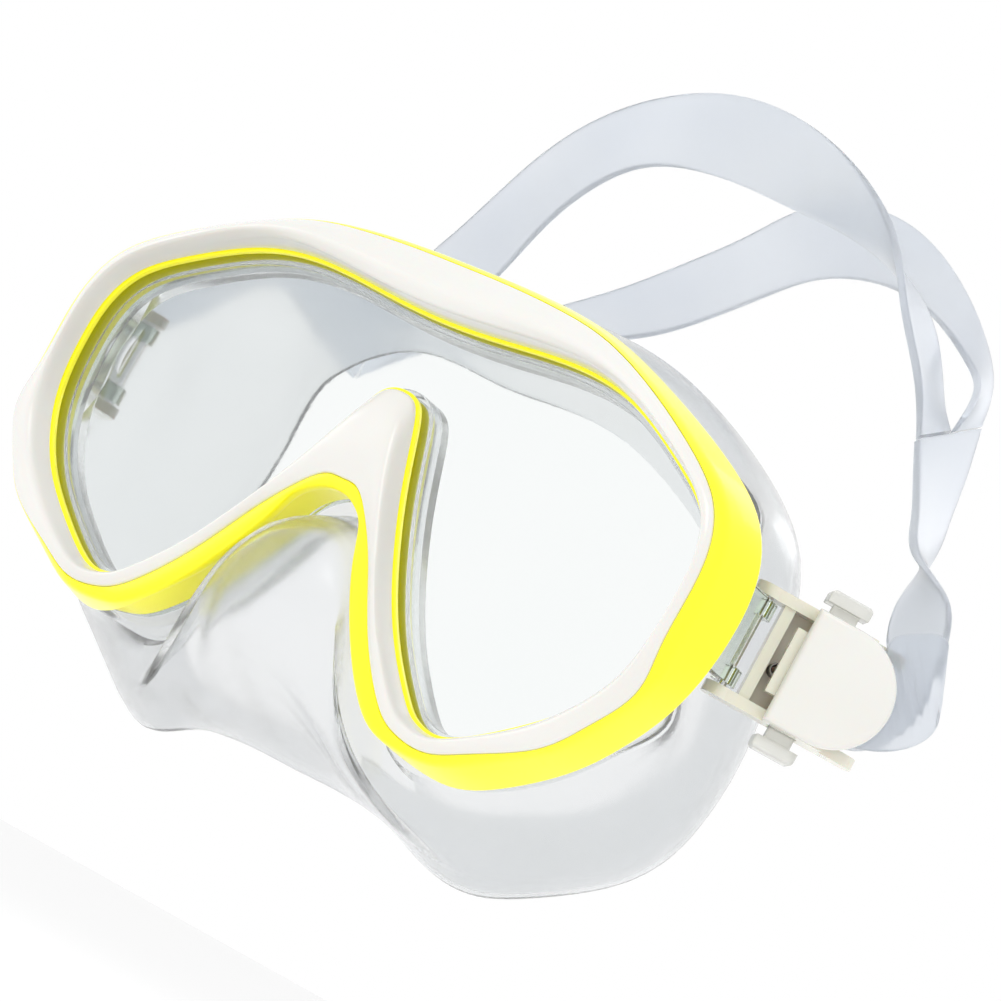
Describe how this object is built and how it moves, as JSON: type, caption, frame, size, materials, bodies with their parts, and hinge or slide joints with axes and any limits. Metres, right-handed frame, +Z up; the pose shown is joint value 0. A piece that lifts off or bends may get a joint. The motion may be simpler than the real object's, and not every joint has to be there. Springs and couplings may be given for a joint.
{
  "type": "diving mask",
  "caption": "Single-lens diving mask with a clear silicone skirt and nose pocket, a two-colour frame, a split head strap and swivelling squeeze-button buckles.",
  "frame": {"origin": "front face of the lens, on the plane of symmetry, between the nose arch and the brow", "axes": "+X to the wearer's left, +Y back towards the wearer's face, +Z up; -Y looks out through the lens"},
  "size_m": [0.2222, 0.1318, 0.1748],
  "materials": {
    "lens": "polished",
    "frame_yellow": "gloss",
    "bezel_white": "gloss",
    "clear_plastic": "clear",
    "clear_silicone": "clear",
    "strap_silicone": "satin clear",
    "bright_steel": "polished",
    "buckle_cream": "gloss",
    "tab_clear": "clear",
    "spring_steel": "satin"
  },
  "bodies": {
    "mask": {"lens": "lens", "lens_retaining_ring": "frame_yellow", "front_bezel": "bezel_white", "color_frame": "frame_yellow", "inner_frame": "clear_plastic", "silicone_skirt": "clear_silicone", "strap_upper_band": "strap_silicone", "strap_lower_band": "strap_silicone", "left_strap_arm": "strap_silicone", "left_hinge_pin": "bright_steel", "right_strap_arm": "strap_silicone", "right_hinge_pin": "bright_steel"},
    "left_buckle": {"left_buckle_yoke": "buckle_cream", "left_buckle_cover": "bezel_white", "left_roller_axle": "bright_steel", "left_pawl_pin": "bright_steel", "left_upper_button_spring": "spring_steel", "left_lower_button_spring": "spring_steel", "left_latch_spring": "spring_steel", "left_strap_end": "strap_silicone"},
    "left_roller": {"left_strap_roller": "buckle_cream"},
    "left_upper_tab": {"left_upper_button": "tab_clear"},
    "left_lower_tab": {"left_lower_button": "tab_clear"},
    "left_pawl": {"left_latch_pawl": "buckle_cream"},
    "right_buckle": {"right_buckle_yoke": "buckle_cream", "right_buckle_cover": "bezel_white", "right_roller_axle": "bright_steel", "right_pawl_pin": "bright_steel", "right_upper_button_spring": "spring_steel", "right_lower_button_spring": "spring_steel", "right_latch_spring": "spring_steel", "right_strap_end": "strap_silicone"},
    "right_roller": {"right_strap_roller": "buckle_cream"},
    "right_upper_tab": {"right_upper_button": "tab_clear"},
    "right_lower_tab": {"right_lower_button": "tab_clear"},
    "right_pawl": {"right_latch_pawl": "buckle_cream"}
  },
  "joints": [
    {"name": "left_buckle_swivel", "type": "hinge", "parent": "mask", "child": "left_buckle", "pos_m": [0.0776, 0.0202, -0.0217], "axis": [0, 0, 1], "range_deg": [-30, 35]},
    {"name": "left_upper_button_press", "type": "slide", "parent": "left_buckle", "child": "left_upper_tab", "axis": [0, 0, -1], "range_m": [0, 0.002], "stiffness_N_per_m": 800, "springref_m": -0.001, "deforming": ["left_upper_button_spring"]},
    {"name": "left_lower_button_press", "type": "slide", "parent": "left_buckle", "child": "left_lower_tab", "axis": [0, 0, 1], "range_m": [0, 0.002], "stiffness_N_per_m": 800, "springref_m": -0.001, "deforming": ["left_lower_button_spring"]},
    {"name": "left_pawl_lift", "type": "hinge", "parent": "left_buckle", "child": "left_pawl", "pos_m": [0.08845, 0.02353, -0.0217], "axis": [0, 0, -1], "range_deg": [0, 2.5]},
    {"name": "left_roller_spin", "type": "hinge", "parent": "left_buckle", "child": "left_roller", "pos_m": [0.0958, 0.03343, -0.0217], "axis": [0, 0, 1], "continuous": true},
    {"name": "right_buckle_swivel", "type": "hinge", "parent": "mask", "child": "right_buckle", "pos_m": [-0.0776, 0.0202, -0.0217], "axis": [0, 0, -1], "range_deg": [-30, 35]},
    {"name": "right_upper_button_press", "type": "slide", "parent": "right_buckle", "child": "right_upper_tab", "axis": [0, 0, -1], "range_m": [0, 0.002], "stiffness_N_per_m": 800, "springref_m": -0.001, "deforming": ["right_upper_button_spring"]},
    {"name": "right_lower_button_press", "type": "slide", "parent": "right_buckle", "child": "right_lower_tab", "axis": [0, 0, 1], "range_m": [0, 0.002], "stiffness_N_per_m": 800, "springref_m": -0.001, "deforming": ["right_lower_button_spring"]},
    {"name": "right_pawl_lift", "type": "hinge", "parent": "right_buckle", "child": "right_pawl", "pos_m": [-0.08845, 0.02353, -0.0217], "axis": [0, 0, 1], "range_deg": [0, 2.5]},
    {"name": "right_roller_spin", "type": "hinge", "parent": "right_buckle", "child": "right_roller", "pos_m": [-0.0958, 0.03343, -0.0217], "axis": [0, 0, -1], "continuous": true}
  ],
  "couplings": [
    {"joint": "left_pawl_lift", "follows": "left_upper_button_press", "rad_per_m": 21.795},
    {"joint": "right_pawl_lift", "follows": "right_upper_button_press", "rad_per_m": 21.795}
  ]
}
